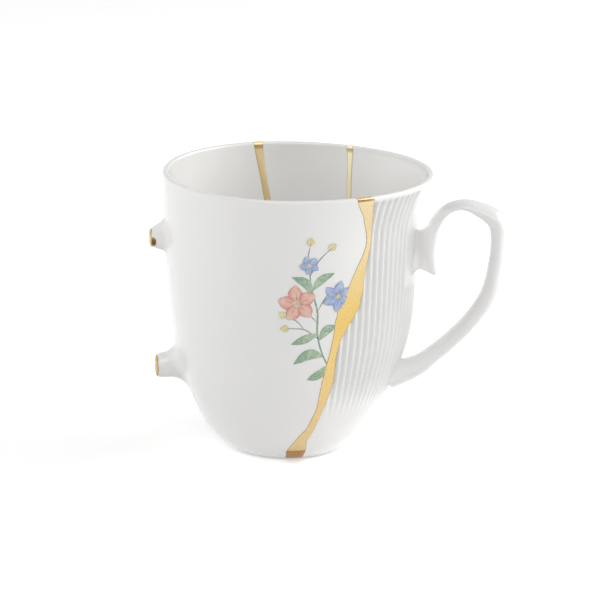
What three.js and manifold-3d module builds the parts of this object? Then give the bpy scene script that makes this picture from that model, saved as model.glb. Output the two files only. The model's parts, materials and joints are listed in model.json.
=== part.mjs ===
// A porcelain mug cast to look like two broken mugs joined with gold.
// Its left part is smooth and has two handle stubs. Its right part is fluted, flared and has a scroll handle.
// Millimetres, +Z up. +X points from the mug's axis towards the handle.
// Angles are in degrees round the axis, from +X towards +Y.
import * as THREE from 'three';
import { mergeVertices } from 'three/addons/utils/BufferGeometryUtils.js';
import Module from 'manifold-3d';

const wasm = await Module();
wasm.setup();

// Wall and foot
const mugHeight = 92;
const rimRadius = 40.3;
const flareRadius = 47.1;
const flareAngle = 13;
const flareStart = -0.3;
const flareFull = 0.9;
const rimFall = 1.3;
const wallThickness = 3.2;
const lipThickness = 1.9;
const thinningShare = 0.55;
const footRadius = 18.8;
const footRingWidth = 2.6;
const footRecess = 1.8;
const floorThickness = 4;
const floorFilletRadius = 9;

// Flutes on the flared part
const fluteDepth = 0.75;
const flutePitchAngle = 3.55;
const fluteStartAngle = -62.6;
const fluteEndAngle = 75.85;
const fluteTopGap = 1.4;
const fluteTopFade = 1.2;
const fluteFootHeight = 17;
const fluteFootFade = 14;
const fluteSideFade = 1.5;
const handlePlainAngle = 14;
const handlePlainHeight = 54;
const handlePlainFade = 6;

// Scroll handle
const handleFootHeight = 25.5;
const handleRise = 58.4;
const handleReach = 28;
const handleWidth = 8.5;
const handleThickness = 5;
const handleStemShare = 0.8;
const handleRootHeight = 25.1;
const handleRootSwell = [1.75, 1.3];
const scrollWebWidth = 5.4;

// Stubs of the lost handle: each narrows and drops a little towards its break
const stubAngle = 200;
const stubWidth = 8;
const stubDrop = 0.7;
const upperStubHeight = 71.6;
const upperStubLength = 4;
const upperStubDepth = 10.2;
const upperStubTaper = 0.54;
const upperFilletShare = 0.3;
const lowerStubHeight = 28.2;
const lowerStubLength = 7;
const lowerStubDepth = 9.2;
const lowerStubTaper = 0.83;
const lowerFilletShare = 1;
const stubFilletLength = 4;
const stubFilletSpread = 3;
const stubFilletPower = 2.5;
const goldTipThickness = 0.8;

// Gold seams
const goldProud = 0.4;
const goldBedDepth = 0.3;
const goldEdgeDrop = 0.25;
const seamFootGap = 1.2;
const seamFloorTurn = 25;
const clearance = 0.3;

// The wall's shape as shares: height, reach on the smooth side and on the flared side, from foot to rim
const wallShape = [
  [0, 0, 0],
  [0.024, 0.175, 0.109],
  [0.087, 0.4, 0.258],
  [0.217, 0.66, 0.502],
  [0.326, 0.807, 0.658],
  [0.457, 0.888, 0.765],
  [0.609, 0.953, 0.806],
  [0.76, 0.988, 0.827],
  [0.87, 0.99, 0.858],
  [0.946, 0.998, 0.936],
  [0.985, 1, 1],
];

// The handle's middle line as shares of its reach and rise, then its thickness and width as shares
const handleShape = [
  [0.04, 0.063, 1.3, 1.12],
  [0.218, 0.134, 1.12, 1.02],
  [0.446, 0.235, 1.06, 1],
  [0.689, 0.368, 1.05, 1],
  [0.868, 0.505, 0.96, 1],
  [0.954, 0.663, 0.87, 1],
  [0.989, 0.81, 0.87, 1],
  [0.957, 0.92, 1.05, 1],
  [0.736, 0.979, 0.82, 1],
  [0.554, 1, 0.6, 0.95],
  [0.371, 0.971, 0.68, 0.9],
  [0.225, 0.885, 0.78, 0.85],
  [0.179, 0.779, 0.68, 0.8],
  [0.193, 0.664, 0.52, 0.72],
  [0.236, 0.599, 0.24, 0.5],
];

// The outline of the scroll's web, as shares of the handle's reach and rise: a start, then lines and curves
const scrollWebShape = [
  [[-0.057, 0.6]],
  [[0.01, 0.63], [0.07, 0.63]],
  [[0.14, 0.625], [0.21, 0.6]],
  [[0.18, 0.8]],
  [[0.22, 0.9]],
  [[0.06, 0.835], [0.03, 0.84]],
  [[0, 0.845], [-0.057, 0.88]],
];

// Each seam's course: share of the mug's height, angle and width
const frontSeam = [
  [0, -72, 6.8],
  [0.05, -71, 6.2],
  [0.1, -68, 4.6],
  [0.155, -63, 3],
  [0.24, -59.2, 2.6],
  [0.34, -57, 4],
  [0.41, -56.1, 2.7],
  [0.5, -54, 3.1],
  [0.61, -48.7, 7],
  [0.67, -46.2, 6],
  [0.73, -44, 4.1],
  [0.83, -40, 1.8],
  [0.92, -41.5, 3.3],
  [0.975, -44, 4.9],
  [1, -44.6, 5.4],
];
const backLeftSeam = [
  [0, 104, 4],
  [0.2, 108, 2.4],
  [0.45, 114, 4.2],
  [0.62, 111, 2.2],
  [0.78, 113.6, 2.2],
  [0.9, 116.4, 2.3],
  [1, 118, 3.3],
];
const backRightSeam = [
  [0, 84, 4.4],
  [0.22, 79, 2.4],
  [0.45, 76, 3.6],
  [0.65, 71, 1.8],
  [0.8, 72, 1.6],
  [0.9, 72.8, 1.5],
  [1, 75, 2.2],
];

const porcelain = () => new THREE.MeshStandardMaterial({ color: 0xf4f3f0, roughness: 0.18, metalness: 0 });
const gold = () => new THREE.MeshStandardMaterial({ color: 0xe0b95c, roughness: 0.28, metalness: 1 });

const radians = THREE.MathUtils.degToRad;
const { smoothstep, lerp, clamp } = THREE.MathUtils;

// The value of one column of a table at a given first column, along smooth curves through its rows
function follow(table, key, column) {
  let row = 0;
  while (row < table.length - 2 && table[row + 1][0] < key) row += 1;
  const at = (index) => table[clamp(index, 0, table.length - 1)];
  const [before, from, to, after] = [at(row - 1), at(row), at(row + 1), at(row + 2)];
  const span = to[0] - from[0];
  const slope = (a, b) => (b[0] === a[0] ? 0 : ((b[column] - a[column]) / (b[0] - a[0])) * span);
  const t = clamp((key - from[0]) / span, 0, 1);
  const startSlope = row === 0 ? slope(from, to) : slope(before, to);
  const endSlope = row === table.length - 2 ? slope(from, to) : slope(from, after);
  const t2 = t * t;
  const t3 = t2 * t;
  return (
    (2 * t3 - 3 * t2 + 1) * from[column] +
    (t3 - 2 * t2 + t) * startSlope +
    (3 * t2 - 2 * t3) * to[column] +
    (t3 - t2) * endSlope
  );
}

// The wall's outer profile at a share of the height, on the smooth side or the flared side
function outerPoint(share, flared) {
  const reach = flared ? flareRadius : rimRadius;
  return new THREE.Vector2(lerp(footRadius, reach, follow(wallShape, share, flared ? 2 : 1)), share * mugHeight);
}

// The inner profile is the outer one moved in by the wall, which thins towards the lip
function innerPoint(share, flared) {
  const step = 0.004;
  const slope = outerPoint(share + step, flared).sub(outerPoint(share - step, flared)).normalize();
  const thickness = lerp(wallThickness, lipThickness, smoothstep(share, thinningShare, lipShare));
  return outerPoint(share, flared).add(new THREE.Vector2(-slope.y, slope.x).multiplyScalar(thickness));
}

// Stations of the wall's profile. Each has a smooth-side and a flared-side point
const lipShare = 1 - lipThickness / 2 / mugHeight;
const floorHeight = footRecess + floorThickness;
const outerShares = [0.01, 0.03, 0.07, 0.14, 0.23, 0.34, 0.5, 0.7, 0.86, 0.96];
const innerShares = [0.93, 0.78, 0.55, 0.34, 0.2];

function bothSides(make) {
  return { smooth: make(false), flared: make(true) };
}

function lipStation(turn) {
  return bothSides((flared) => {
    const outer = outerPoint(lipShare, flared);
    const middle = outer.x - lipThickness / 2;
    return new THREE.Vector2(
      middle + (Math.cos(turn) * lipThickness) / 2,
      outer.y + (Math.sin(turn) * lipThickness) / 2,
    );
  });
}

function floorStation(turn) {
  return bothSides((flared) => {
    const edge = innerPoint(innerShares[innerShares.length - 1], flared);
    const drop = edge.y - floorHeight;
    return new THREE.Vector2(
      edge.x - floorFilletRadius * (1 - Math.cos(turn)),
      floorHeight + drop * (1 - Math.sin(turn)),
    );
  });
}

const fluteTop = (mugHeight - fluteTopGap) / mugHeight;
const outerStations = outerShares.map((share) => bothSides((flared) => outerPoint(share, flared)));
const fluteTopStation = bothSides((flared) => outerPoint(fluteTop, flared));
const outerLipStations = [0, 0.25, 0.5].map((turn) => lipStation(turn * Math.PI));
const innerLipStations = [0.5, 0.75, 1].map((turn) => lipStation(turn * Math.PI));
const innerStations = innerShares.map((share) => bothSides((flared) => innerPoint(share, flared)));
const floorStations = [0.4, 0.7, 1].map((turn) => floorStation((turn * Math.PI) / 2));

// A place on the wall: the section widens towards the flare, and the rim falls a little that way
function wallPoint(station, angle, inset) {
  const turn = radians(angle - flareAngle);
  const flare = smoothstep(Math.cos(turn), flareStart, flareFull);
  const radius = lerp(station.smooth.x, station.flared.x, flare) - inset;
  const across = (station.smooth.x - inset) * Math.sin(turn);
  const height = lerp(station.smooth.y, station.flared.y, flare);
  const fall = (rimFall * (height / mugHeight) * radius * Math.cos(turn)) / (rimRadius + flareRadius);
  const point = new THREE.Vector3(radius * Math.cos(turn), across, height - fall);
  return point.applyAxisAngle(new THREE.Vector3(0, 0, 1), radians(flareAngle));
}

// How deep the flutes are pressed at a place on the outside. They leave the wall plain beside the scroll
function fluteInset(station, angle, valley) {
  const height = station.smooth.y;
  const share = height / mugHeight;
  const foot = smoothstep(height, fluteFootHeight, fluteFootHeight + fluteFootFade);
  const top = 1 - smoothstep(height, mugHeight - fluteTopGap - fluteTopFade, mugHeight - fluteTopGap);
  const left = smoothstep(angle - follow(frontSeam, share, 1), 0, fluteSideFade);
  const right = smoothstep(follow(backRightSeam, share, 1) - angle, 0, fluteSideFade);
  const besideHandle = smoothstep(Math.abs(angle), handlePlainAngle - fluteSideFade, handlePlainAngle);
  const atHandle = smoothstep(height, handlePlainHeight, handlePlainHeight + handlePlainFade);
  return fluteDepth * valley * foot * top * left * right * lerp(1, besideHandle, atHandle);
}

// The columns round the wall: a ridge and two valley edges for each flute, and plain steps elsewhere
function wallColumns() {
  const columns = [];
  const valleyEdges = [0.34, 0.66];
  const fluteCount = Math.round((fluteEndAngle - fluteStartAngle) / flutePitchAngle);
  for (let flute = 0; flute < fluteCount; flute += 1) {
    const angle = fluteStartAngle + flute * flutePitchAngle;
    columns.push([angle, 0], ...valleyEdges.map((edge) => [angle + edge * flutePitchAngle, 1]));
  }
  const plainArc = 360 - fluteCount * flutePitchAngle;
  const plainCount = 22;
  for (let step = 0; step < plainCount; step += 1) {
    columns.push([fluteStartAngle + fluteCount * flutePitchAngle + (plainArc * step) / plainCount, 0]);
  }
  return columns.map(([angle, valley]) => ({ angle: angle > 180 ? angle - 360 : angle, valley }));
}

// A closed solid through rings of equal length, its first and last ring capped flat
function loft(rings) {
  const length = rings[0].length;
  const positions = rings.flat();
  const centre = (ring) => ring.reduce((sum, point) => sum.add(point), new THREE.Vector3()).divideScalar(length);
  positions.push(centre(rings[0]), centre(rings[rings.length - 1]));
  const index = [];
  for (let ring = 0; ring < rings.length - 1; ring += 1) {
    for (let point = 0; point < length; point += 1) {
      const next = (point + 1) % length;
      const [a, b] = [ring * length + point, ring * length + next];
      index.push(a, b, b + length, a, b + length, a + length);
    }
  }
  const last = (rings.length - 1) * length;
  for (let point = 0; point < length; point += 1) {
    const next = (point + 1) % length;
    index.push(positions.length - 2, next, point, positions.length - 1, last + point, last + next);
  }
  const geometry = new THREE.BufferGeometry().setFromPoints(positions);
  geometry.setIndex(index);
  return toSolid(geometry);
}

function toSolid(geometry) {
  geometry.deleteAttribute('normal');
  geometry.deleteAttribute('uv');
  const merged = mergeVertices(geometry, 1e-4);
  const triangles = Uint32Array.from(merged.index.array);
  const solid = (triVerts) =>
    new wasm.Manifold(new wasm.Mesh({ numProp: 3, vertProperties: merged.attributes.position.array, triVerts }));
  const first = solid(triangles);
  if (first.volume() > 0) return first;
  for (let face = 0; face < triangles.length; face += 3) {
    [triangles[face], triangles[face + 1]] = [triangles[face + 1], triangles[face]];
  }
  return solid(triangles);
}

function toMesh(solid, name, material) {
  const { vertProperties, triVerts } = solid.getMesh();
  const geometry = new THREE.BufferGeometry();
  geometry.setAttribute('position', new THREE.BufferAttribute(Float32Array.from(vertProperties), 3));
  geometry.setIndex(new THREE.BufferAttribute(Uint32Array.from(triVerts), 1));
  geometry.computeVertexNormals();
  const mesh = new THREE.Mesh(geometry, material);
  mesh.name = name;
  return mesh;
}

// The outer form with its foot ring and the recess below it, not yet hollow
function outerForm() {
  const columns = wallColumns();
  const ringAt = (station, fluted) =>
    columns.map(({ angle, valley }) =>
      wallPoint(station, angle, fluted ? fluteInset(station, angle, valley) : 0),
    );
  const flat = (radius, height) => bothSides(() => new THREE.Vector2(radius, height));
  const footStations = [
    flat(footRadius - footRingWidth - footRecess, footRecess),
    flat(footRadius - footRingWidth, 0),
    flat(footRadius, 0),
  ];
  return loft([
    ...footStations.map((station) => ringAt(station, false)),
    ...outerStations.map((station) => ringAt(station, true)),
    ringAt(fluteTopStation, true),
    ...outerLipStations.map((station) => ringAt(station, false)),
  ]);
}

// The room inside, from the floor up past the lip
function insideForm() {
  const columnCount = 34;
  const angles = Array.from({ length: columnCount }, (unused, column) => (column * 360) / columnCount);
  const ringAt = (station) => angles.map((angle) => wallPoint(station, angle, 0));
  const rising = [...innerLipStations, ...innerStations, ...floorStations].reverse().map(ringAt);
  const above = rising[rising.length - 1].map((point) => point.clone().setZ(point.z + lipThickness));
  return loft([...rising, above]);
}

const footShare = (overrun) => (seamFootGap - overrun) / mugHeight;

// The heights, as shares, where a seam bends and where the wall under it does
function seamShares(course, wallShares, lowest, highest) {
  const least = 0.005;
  const all = [...wallShares, ...course.map(([share]) => share)].sort((a, b) => a - b);
  const inside = all.filter((share) => share >= lowest && share <= highest);
  return inside.filter((share, index) => index === 0 || share - inside[index - 1] > least);
}

// A seam is a low bar that follows the wall up the outside, over the lip and down the inside
function seamPath(course, overrun) {
  const endGap = 0.01;
  const climbing = seamShares(course, outerShares, footShare(0) + endGap, lipShare - endGap);
  const falling = seamShares(course, innerShares, innerShares[innerShares.length - 1], innerShares[0]).reverse();
  const stations = [
    ...[footShare(overrun), ...climbing].map((share) => bothSides((flared) => outerPoint(share, flared))),
    ...outerLipStations,
    ...innerLipStations.slice(1),
    ...falling.map((share) => bothSides((flared) => innerPoint(share, flared))),
    floorStation(radians(seamFloorTurn) + overrun / floorFilletRadius),
  ];
  return stations.map((station, index) => {
    const share = clamp(station.smooth.y / mugHeight, 0, 1);
    const before = stations[Math.max(index - 1, 0)];
    const after = stations[Math.min(index + 1, stations.length - 1)];
    return { station, before, after, angle: follow(course, share, 1), width: follow(course, share, 2) };
  });
}

function seamSolid(course, section, overrun) {
  const rings = seamPath(course, overrun).map(({ station, before, after, angle, width }) => {
    const place = wallPoint(station, angle, 0);
    const along = wallPoint(after, angle, 0).sub(wallPoint(before, angle, 0)).normalize();
    const radius = Math.hypot(place.x, place.y);
    const out = new THREE.Vector3(place.x / radius, place.y / radius, 0);
    const side = new THREE.Vector3(-out.y, out.x, 0);
    const normal = side.clone().cross(along).normalize();
    return section(width).map(([across, proud]) => {
      const turned = angle + THREE.MathUtils.radToDeg(across / radius);
      return wallPoint(station, turned, 0).addScaledVector(normal, proud);
    });
  });
  return loft(rings);
}

const goldSection = (width) => [
  [-width / 2, -goldBedDepth],
  [-width / 2, goldProud - goldEdgeDrop],
  [-width / 4, goldProud],
  [width / 4, goldProud],
  [width / 2, goldProud - goldEdgeDrop],
  [width / 2, -goldBedDepth],
];

const bedSection = (width) => {
  const half = width / 2 + clearance;
  const bed = goldBedDepth + clearance;
  const head = goldProud + 1;
  return [[-half, -bed], [-half, head], [half, head], [half, -bed]];
};

// The section of the handle and the stubs: an oval with flattened sides
function ovalSection(origin, thickAxis, thickness, widthAxis, width) {
  const count = 10;
  const squareness = 0.8;
  return Array.from({ length: count }, (unused, index) => {
    const turn = ((index + 0.5) / count) * Math.PI * 2;
    const spread = (value) => Math.sign(value) * Math.abs(value) ** squareness;
    return origin
      .clone()
      .addScaledVector(thickAxis, (spread(Math.cos(turn)) * thickness) / 2)
      .addScaledVector(widthAxis, (spread(Math.sin(turn)) * width) / 2);
  });
}

const outward = (angle) => new THREE.Vector3(Math.cos(radians(angle)), Math.sin(radians(angle)), 0);
const sideways = (angle) => new THREE.Vector3(-Math.sin(radians(angle)), Math.cos(radians(angle)), 0);
const up = new THREE.Vector3(0, 0, 1);

function wallReach(height, angle) {
  const station = bothSides((flared) => outerPoint(height / mugHeight, flared));
  const point = wallPoint(station, angle, 0);
  return Math.hypot(point.x, point.y);
}

const handleStart = wallReach(handleFootHeight + handleRise * handleStemShare, 0);
const handleX = (reach) => handleStart + reach * handleReach;
const handleZ = (rise) => handleFootHeight + rise * handleRise;

// The band of the handle, from its root inside the lower wall to the tip of its scroll
function handleBand() {
  const root = new THREE.Vector3(wallReach(handleRootHeight, 0) - wallThickness / 2, 0, handleRootHeight);
  const places = handleShape.map(([reach, rise]) => new THREE.Vector3(handleX(reach), 0, handleZ(rise)));
  const curve = new THREE.CatmullRomCurve3([root, ...places], false, 'centripetal');
  const swell = [handleRootSwell, ...handleShape.map(([, , thick, wide]) => [thick, wide])];
  const steps = 2;
  const rings = [];
  for (let step = 0; step <= (swell.length - 1) * steps; step += 1) {
    const t = step / steps / (swell.length - 1);
    const from = Math.min(Math.floor(step / steps), swell.length - 2);
    const mix = step / steps - from;
    const tangent = curve.getTangent(t);
    const across = new THREE.Vector3(tangent.z, 0, -tangent.x);
    const thickness = handleThickness * lerp(swell[from][0], swell[from + 1][0], mix);
    const width = handleWidth * lerp(swell[from][1], swell[from + 1][1], mix);
    rings.push(ovalSection(curve.getPoint(t), across, thickness, sideways(0), width));
  }
  return loft(rings);
}

// The web that joins the scroll to the wall, with a hollow under it
function handleWeb() {
  const [first, ...bends] = scrollWebShape.map((places) =>
    places.map(([reach, rise]) => [handleX(reach), handleZ(rise)]).flat(),
  );
  const web = new THREE.Shape();
  web.moveTo(...first);
  bends.forEach((bend) => (bend.length === 2 ? web.lineTo(...bend) : web.quadraticCurveTo(...bend)));
  const geometry = new THREE.ExtrudeGeometry(web, { depth: scrollWebWidth, bevelEnabled: false, curveSegments: 5 });
  geometry.rotateX(Math.PI / 2);
  geometry.translate(0, scrollWebWidth / 2, 0);
  return toSolid(geometry);
}

const upperStub = {
  height: upperStubHeight,
  length: upperStubLength,
  depth: upperStubDepth,
  taper: upperStubTaper,
  filletShare: upperFilletShare,
};
const lowerStub = {
  height: lowerStubHeight,
  length: lowerStubLength,
  depth: lowerStubDepth,
  taper: lowerStubTaper,
  filletShare: lowerFilletShare,
};

// A stub spreads into the wall, at any height of it, and ends in a flat break
function stubRings(stub, from, to, steps) {
  const out = outward(stubAngle);
  const wall = wallReach(stub.height, stubAngle);
  return Array.from({ length: steps + 1 }, (unused, step) => {
    const distance = lerp(from, to, step / steps);
    const travel = clamp(distance / stub.length, 0, 1);
    const narrowing = lerp(1, stub.taper, travel);
    const height = stub.height - stubDrop * travel;
    const origin = out.clone().multiplyScalar(wall + distance).addScaledVector(up, height);
    const plain = ovalSection(origin, up, stub.depth * narrowing, sideways(stubAngle), stubWidth * narrowing);
    return plain.map((point) => {
      const gap = wall + distance - wallReach(point.z, stubAngle);
      const nearness = clamp(1 - gap / (stubFilletLength * stub.filletShare), 0, 1);
      const spread = stubFilletSpread * stub.filletShare * nearness ** stubFilletPower;
      const arm = point.clone().sub(origin);
      return point.add(arm.setLength(spread));
    });
  });
}

const stubSolid = (stub) => loft(stubRings(stub, -wallThickness / 2, stub.length, 8));

function tipSolid(stub) {
  const start = stub.length + clearance;
  return loft(stubRings(stub, start, start + goldTipThickness, 1));
}

const seams = { gold_seam_front: frontSeam, gold_seam_back_left: backLeftSeam, gold_seam_back_right: backRightSeam };

// Handle, web and stubs join the outer form before it is hollowed, so that none of them shows inside
function bodySolid() {
  const solids = [
    handleBand(),
    handleWeb(),
    stubSolid(upperStub),
    stubSolid(lowerStub),
  ];
  const whole = solids.reduce((sum, solid) => sum.add(solid), outerForm());
  const beds = Object.values(seams).map((course) => seamSolid(course, bedSection, clearance));
  return [insideForm(), ...beds].reduce((left, cut) => left.subtract(cut), whole);
}

const pieces = new THREE.Group();
pieces.add(toMesh(bodySolid(), 'porcelain_body', porcelain()));
for (const [name, course] of Object.entries(seams)) {
  pieces.add(toMesh(seamSolid(course, goldSection, 0), name, gold()));
}
pieces.add(toMesh(tipSolid(upperStub), 'gold_tip_upper', gold()));
pieces.add(toMesh(tipSolid(lowerStub), 'gold_tip_lower', gold()));

// The origin is under the middle of the whole mug, handle and stubs included
const middle = new THREE.Box3().setFromObject(pieces).getCenter(new THREE.Vector3());
pieces.position.set(-middle.x, -middle.y, 0);

const mug = new THREE.Group();
mug.add(pieces);

export default mug;
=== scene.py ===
import json
import math

import bmesh
import bpy
from mathutils import Matrix, Vector, noise


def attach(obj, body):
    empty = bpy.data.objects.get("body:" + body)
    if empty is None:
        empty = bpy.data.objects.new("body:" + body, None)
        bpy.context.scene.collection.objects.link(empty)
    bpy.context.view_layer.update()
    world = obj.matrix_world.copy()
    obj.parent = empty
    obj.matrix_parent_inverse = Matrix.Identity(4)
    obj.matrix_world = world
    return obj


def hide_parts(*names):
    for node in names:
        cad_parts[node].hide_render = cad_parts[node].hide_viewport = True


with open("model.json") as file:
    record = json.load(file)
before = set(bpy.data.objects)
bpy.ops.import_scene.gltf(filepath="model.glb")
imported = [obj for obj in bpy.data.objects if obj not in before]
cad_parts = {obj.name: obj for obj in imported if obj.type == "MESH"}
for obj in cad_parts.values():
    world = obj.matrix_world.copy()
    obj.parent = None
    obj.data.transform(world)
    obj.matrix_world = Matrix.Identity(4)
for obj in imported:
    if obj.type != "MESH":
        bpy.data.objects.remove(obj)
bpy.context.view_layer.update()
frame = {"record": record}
scene = bpy.context.scene
mm = 0.001
mergeDistance = 0.002
up = Vector((0, 0, 1))
print("frame loaded")

# Where the mug's own axis stands: the foot mount lies on the foot ring, towards the handle
footRing = {"mountReach": 17.5}
footMount = Vector(frame["record"]["mounts"][0]["pos_m"])
mugAxis = Vector((footMount.x - footRing["mountReach"] * mm, footMount.y, 0))

# Camera, at the photograph's angle
view = {
    "azimuth": 13,
    "elevation": 16.67,
    "distance": 1.0,
    "lens": 183.6,
    "sensor": 36,
    "nearest": 0.05,
    "farthest": 50,
    "targetOut": 3.92,
    "targetHeight": 48.25,
}


def direction(azimuth, elevation):
    flat = math.cos(math.radians(elevation))
    turn = math.radians(azimuth)
    return Vector((math.sin(turn) * flat, -math.cos(turn) * flat, math.sin(math.radians(elevation))))


def aim(thing, place, target):
    thing.location = place
    thing.rotation_euler = (target - place).to_track_quat("-Z", "Y").to_euler()


viewTurn = math.radians(view["azimuth"])
viewTarget = mugAxis + Vector((math.cos(viewTurn), math.sin(viewTurn), 0)) * view["targetOut"] * mm
viewTarget.z = view["targetHeight"] * mm
cameraData = bpy.data.cameras.new("studioCamera")
cameraData.lens = view["lens"]
cameraData.sensor_width = view["sensor"]
cameraData.clip_start = view["nearest"]
cameraData.clip_end = view["farthest"]
camera = bpy.data.objects.new("studioCamera", cameraData)
scene.collection.objects.link(camera)
aim(camera, viewTarget + direction(view["azimuth"], view["elevation"]) * view["distance"], viewTarget)
scene.camera = camera
scene.view_settings.view_transform = "Standard"
print("camera set")


# Numbers between two values, and along a table of places
def mix(low, high, share):
    return low + (high - low) * share


def clamp(value, low=0.0, high=1.0):
    return min(max(value, low), high)


def smoothstep(value, low, high):
    share = clamp((value - low) / (high - low))
    return share * share * (3 - 2 * share)


def spread(low, high, count):
    return [mix(low, high, index / (count - 1)) for index in range(count)]


def bulge(value, squareness):
    return math.copysign(abs(value) ** squareness, value)


def follow(table, key, column):
    last = len(table) - 1
    row = 0
    while row < last - 1 and table[row + 1][0] < key:
        row += 1
    before, start, end, after = (table[int(clamp(index, 0, last))] for index in range(row - 1, row + 3))
    span = end[0] - start[0]

    def slope(a, b):
        return (b[column] - a[column]) / (b[0] - a[0]) * span if b[0] != a[0] else 0

    t = clamp((key - start[0]) / span)
    startSlope = slope(start, end) if row == 0 else slope(before, end)
    endSlope = slope(start, end) if row == last - 1 else slope(start, after)
    return (
        (2 * t**3 - 3 * t**2 + 1) * start[column]
        + (t**3 - 2 * t**2 + t) * startSlope
        + (3 * t**2 - 2 * t**3) * end[column]
        + (t**3 - t**2) * endSlope
    )


# The cup's wall: millimetres, from the foot to the rim, and back down inside
cup = {
    "height": 92,
    "rimRadius": 40.3,
    "flareRadius": 47.1,
    "flareAngle": 13,
    "flareStart": -0.3,
    "flareFull": 0.9,
    "rimFall": 1.3,
    "wall": 3.2,
    "lip": 1.9,
    "lipSquareness": 0.72,
    "lipLevelStart": 0.9,
    # shares of the height left between the lip and the next row, outside and inside
    "outerLipGap": 0.004,
    "innerLipGap": 0.006,
    "thinningShare": 0.55,
    "footRadius": 18.8,
    "footRingWidth": 2.6,
    "footRecess": 1.8,
    "footRounding": 0.5,
    "floor": 4,
    "floorFillet": 9,
    "lowestInside": 0.2,
    # share of the height, share of the reach on the smooth side, and on the flared side
    "shape": [
        [0, 0, 0],
        [0.024, 0.175, 0.109],
        [0.087, 0.4, 0.258],
        [0.217, 0.66, 0.502],
        [0.326, 0.807, 0.658],
        [0.457, 0.888, 0.765],
        [0.609, 0.953, 0.806],
        [0.76, 0.988, 0.827],
        [0.87, 0.99, 0.858],
        [0.946, 0.998, 0.936],
        [0.985, 1, 1],
    ],
}
lipShare = 1 - cup["lip"] / 2 / cup["height"]


def outerPoint(share, flared):
    reach = cup["flareRadius"] if flared else cup["rimRadius"]
    radius = mix(cup["footRadius"], reach, follow(cup["shape"], share, 2 if flared else 1))
    return Vector((radius, share * cup["height"]))


def innerPoint(share, flared):
    step = 0.004
    along = outerPoint(share + step, flared) - outerPoint(share - step, flared)
    slope = along.normalized()
    thickness = mix(cup["wall"], cup["lip"], smoothstep(share, cup["thinningShare"], lipShare))
    # just under the lip the wall's thickness is measured level, so that the inside runs on from the lip
    level = smoothstep(share, cup["lipLevelStart"], lipShare)
    return outerPoint(share, flared) + Vector((-slope.y, slope.x)).lerp(Vector((-1, 0)), level) * thickness


def lipPoint(turn, flared):
    outer = outerPoint(lipShare, flared)
    half = cup["lip"] / 2
    across = bulge(math.cos(turn), cup["lipSquareness"])
    rise = bulge(math.sin(turn), cup["lipSquareness"])
    return Vector((outer.x - half + across * half, outer.y + rise * half))


def floorPoint(turn, flared):
    edge = innerPoint(cup["lowestInside"], flared)
    floorHeight = cup["footRecess"] + cup["floor"]
    return Vector(
        (
            edge.x - cup["floorFillet"] * (1 - math.cos(turn)),
            floorHeight + (edge.y - floorHeight) * (1 - math.sin(turn)),
        )
    )


def bothSides(make, *values):
    return make(*values, False), make(*values, True)


def flatStation(radius, height):
    return Vector((radius, height)), Vector((radius, height))


# A place on the wall: the section widens towards the flare, and the rim falls a little that way
def wallPoint(station, angle, inset=0.0):
    smooth, flared = station
    turn = math.radians(angle - cup["flareAngle"])
    flare = smoothstep(math.cos(turn), cup["flareStart"], cup["flareFull"])
    radius = mix(smooth.x, flared.x, flare) - inset
    across = (smooth.x - inset) * math.sin(turn)
    height = mix(smooth.y, flared.y, flare)
    fall = cup["rimFall"] * (height / cup["height"]) * radius * math.cos(turn)
    point = Vector((radius * math.cos(turn), across, height - fall / (cup["rimRadius"] + cup["flareRadius"])))
    point.rotate(Matrix.Rotation(math.radians(cup["flareAngle"]), 3, "Z"))
    return point


def toRow(point):
    return mugAxis + point * mm


# A sleeve is a spun line: each of its rows and columns is then put in its place on the piece
def spinSleeve(rowCount, columnCount, place, name, layers=()):
    sleeve = bmesh.new()
    line = [sleeve.verts.new((1, 0, row)) for row in range(rowCount)]
    edges = [sleeve.edges.new(pair) for pair in zip(line, line[1:])]
    bmesh.ops.spin(
        sleeve, geom=line + edges, cent=(0, 0, 0), axis=(0, 0, 1), dvec=(0, 0, 0), angle=math.tau,
        steps=columnCount, use_merge=True, use_duplicate=False,
    )
    rims = [edge for edge in sleeve.edges if edge.is_boundary]
    bmesh.ops.holes_fill(sleeve, edges=rims, sides=0)
    made = [sleeve.verts.layers.float.new(layer) for layer in layers]
    for vert in sleeve.verts:
        column = round(math.atan2(vert.co.y, vert.co.x) / math.tau * columnCount) % columnCount
        point, *values = place(round(vert.co.z), column)
        vert.co = toRow(point)
        for layer, value in zip(made, values):
            vert[layer] = value
    return finishMesh(sleeve, name)


def finishMesh(shape, name):
    bmesh.ops.remove_doubles(shape, verts=shape.verts, dist=mergeDistance * mm)
    bmesh.ops.recalc_face_normals(shape, faces=shape.faces)
    for face in shape.faces:
        face.smooth = True
    mesh = bpy.data.meshes.new(name)
    shape.to_mesh(mesh)
    shape.free()
    piece = bpy.data.objects.new(name, mesh)
    scene.collection.objects.link(piece)
    return piece


# The gold seams' courses: share of the height, angle and width
seamCourses = {
    "seamFront": [
        [0, -72, 6.8],
        [0.05, -71, 6.2],
        [0.1, -68, 4.6],
        [0.155, -63, 3],
        [0.24, -59.2, 2.6],
        [0.34, -57, 4],
        [0.41, -56.1, 2.7],
        [0.5, -54, 3.1],
        [0.61, -48.7, 7],
        [0.67, -46.2, 6],
        [0.73, -44, 4.1],
        [0.83, -40, 1.8],
        [0.92, -41.5, 3.3],
        [0.975, -44, 4.9],
        [1, -44.6, 5.4],
    ],
    "seamBackLeft": [
        [0, 104, 4],
        [0.2, 108, 2.4],
        [0.45, 114, 4.2],
        [0.62, 111, 2.2],
        [0.78, 113.6, 2.2],
        [0.9, 116.4, 2.3],
        [1, 118, 3.3],
    ],
    "seamBackRight": [
        [0, 84, 4.4],
        [0.22, 79, 2.4],
        [0.45, 76, 3.6],
        [0.65, 71, 1.8],
        [0.8, 72, 1.6],
        [0.9, 72.8, 1.5],
        [1, 75, 2.2],
    ],
}

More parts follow.
